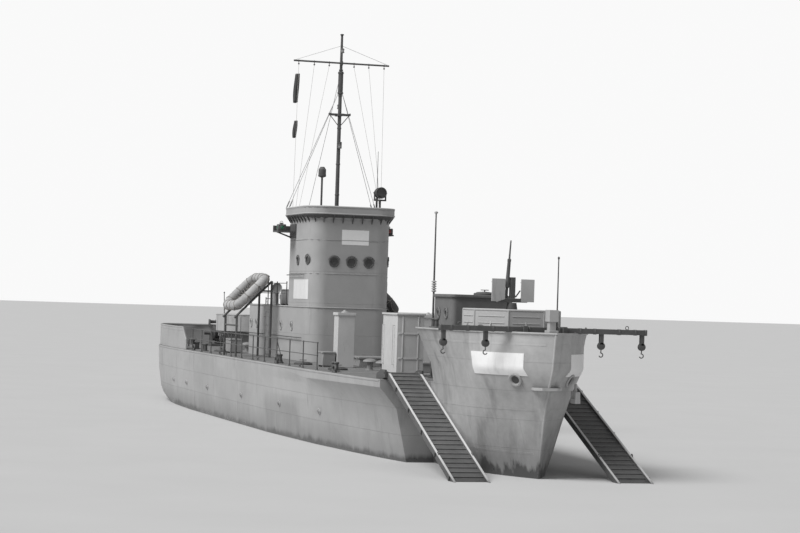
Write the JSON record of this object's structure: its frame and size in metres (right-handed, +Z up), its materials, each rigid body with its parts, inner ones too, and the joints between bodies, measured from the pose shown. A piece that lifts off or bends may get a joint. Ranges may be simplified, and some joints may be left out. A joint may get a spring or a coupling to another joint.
{
  "type": "half-scale model of an infantry landing craft",
  "caption": "Decked steel landing craft with a narrow raised bow between hinged side ramps, a square conning tower with an open bridge, a mast, rafts and a rounded stern.",
  "frame": {"origin": "on the waterline, on the centreline at half the hull's length", "axes": "+X forward to the bow, +Y to port, +Z up"},
  "size_m": [25.0447, 3.545, 8.41],
  "materials": {
    "hull_grey": "matt grey paint with stains",
    "deck_grey": "matt grey paint",
    "ramp_grey": "scuffed matt grey paint",
    "dark_fitting": "dark grey paint",
    "raft_canvas": "painted canvas over a buoyant ring",
    "bronze": "dull bronze",
    "bottom_paint": "dark bottom paint"
  },
  "bodies": {
    "craft": {"hull": "hull_grey", "bow": "hull_grey", "bow_tub": "deck_grey", "bow_mount_base": "dark_fitting", "aft_tub": "deck_grey", "ramp_beam": "dark_fitting", "forward_house": "deck_grey", "whip_pole": "dark_fitting", "stem_post": "dark_fitting", "bow_anchor": "dark_fitting", "aft_platform": "deck_grey", "searchlight": "dark_fitting", "signal_post": "dark_fitting", "deckhouse": "hull_grey", "conning_tower": "hull_grey", "bridge": "hull_grey", "mast": "dark_fitting", "stern_bulwark": "hull_grey", "stern_winch": "dark_fitting", "ramp_sill_port": "dark_fitting", "ramp_sill_starboard": "dark_fitting", "companionway_port": "deck_grey", "companionway_starboard": "deck_grey", "vent_trunk_port": "deck_grey", "vent_trunk_starboard": "deck_grey", "sidelight_screen_port": "dark_fitting", "sidelight_screen_starboard": "dark_fitting", "raft_port": "raft_canvas", "raft_starboard": "raft_canvas", "raft_rack_port": "dark_fitting", "raft_rack_starboard": "dark_fitting", "railing_port": "dark_fitting", "railing_starboard": "dark_fitting", "propeller_shaft_port": "bottom_paint", "propeller_shaft_starboard": "bottom_paint"},
    "bow_mount_head_body": {"bow_mount_head": "dark_fitting"},
    "companionway_door_port_body": {"companionway_door_port": "deck_grey"},
    "companionway_door_starboard_body": {"companionway_door_starboard": "deck_grey"},
    "deckhouse_door_port_body": {"deckhouse_door_port": "deck_grey"},
    "deckhouse_door_starboard_body": {"deckhouse_door_starboard": "deck_grey"},
    "propeller_port_body": {"propeller_port": "bronze"},
    "propeller_starboard_body": {"propeller_starboard": "bronze"},
    "ramp_port_body": {"ramp_port": "ramp_grey"},
    "ramp_starboard_body": {"ramp_starboard": "ramp_grey"},
    "rudder_port_body": {"rudder_port": "bottom_paint"},
    "rudder_starboard_body": {"rudder_starboard": "bottom_paint"}
  },
  "joints": [
    {"name": "ramp_port_lift", "type": "hinge", "parent": "craft", "child": "ramp_port_body", "pos_m": [8.64, 1.225, 1.37], "axis": [0, -1, 0], "range_deg": [-6, 24]},
    {"name": "ramp_starboard_lift", "type": "hinge", "parent": "craft", "child": "ramp_starboard_body", "pos_m": [8.64, -1.225, 1.37], "axis": [0, -1, 0], "range_deg": [-6, 24]},
    {"name": "propeller_port_turn", "type": "hinge", "parent": "craft", "child": "propeller_port_body", "pos_m": [-10.575, 0.775, -0.475], "axis": [1, 0, 0], "continuous": true},
    {"name": "propeller_starboard_turn", "type": "hinge", "parent": "craft", "child": "propeller_starboard_body", "pos_m": [-10.575, -0.775, -0.475], "axis": [1, 0, 0], "continuous": true},
    {"name": "rudder_port_steer", "type": "hinge", "parent": "craft", "child": "rudder_port_body", "pos_m": [-11.125, 0.775, -0.3], "axis": [0, 0, 1], "range_deg": [-35, 35]},
    {"name": "rudder_starboard_steer", "type": "hinge", "parent": "craft", "child": "rudder_starboard_body", "pos_m": [-11.125, -0.775, -0.3], "axis": [0, 0, 1], "range_deg": [-35, 35]},
    {"name": "companionway_door_port_swing", "type": "hinge", "parent": "craft", "child": "companionway_door_port_body", "pos_m": [6.334, 0.51, 1.75], "axis": [0, 0, 1], "range_deg": [0, 110]},
    {"name": "companionway_door_starboard_swing", "type": "hinge", "parent": "craft", "child": "companionway_door_starboard_body", "pos_m": [6.334, -0.51, 1.75], "axis": [0, 0, -1], "range_deg": [0, 110]},
    {"name": "deckhouse_door_port_swing", "type": "hinge", "parent": "craft", "child": "deckhouse_door_port_body", "pos_m": [-2.3475, 0.831, 1.75], "axis": [0, 0, -1], "range_deg": [0, 110]},
    {"name": "deckhouse_door_starboard_swing", "type": "hinge", "parent": "craft", "child": "deckhouse_door_starboard_body", "pos_m": [-2.3475, -0.831, 1.75], "axis": [0, 0, 1], "range_deg": [0, 110]},
    {"name": "bow_mount_train", "type": "hinge", "parent": "craft", "child": "bow_mount_head_body", "pos_m": [10.1, 0, 2.55], "axis": [0, 0, 1], "continuous": true}
  ]
}
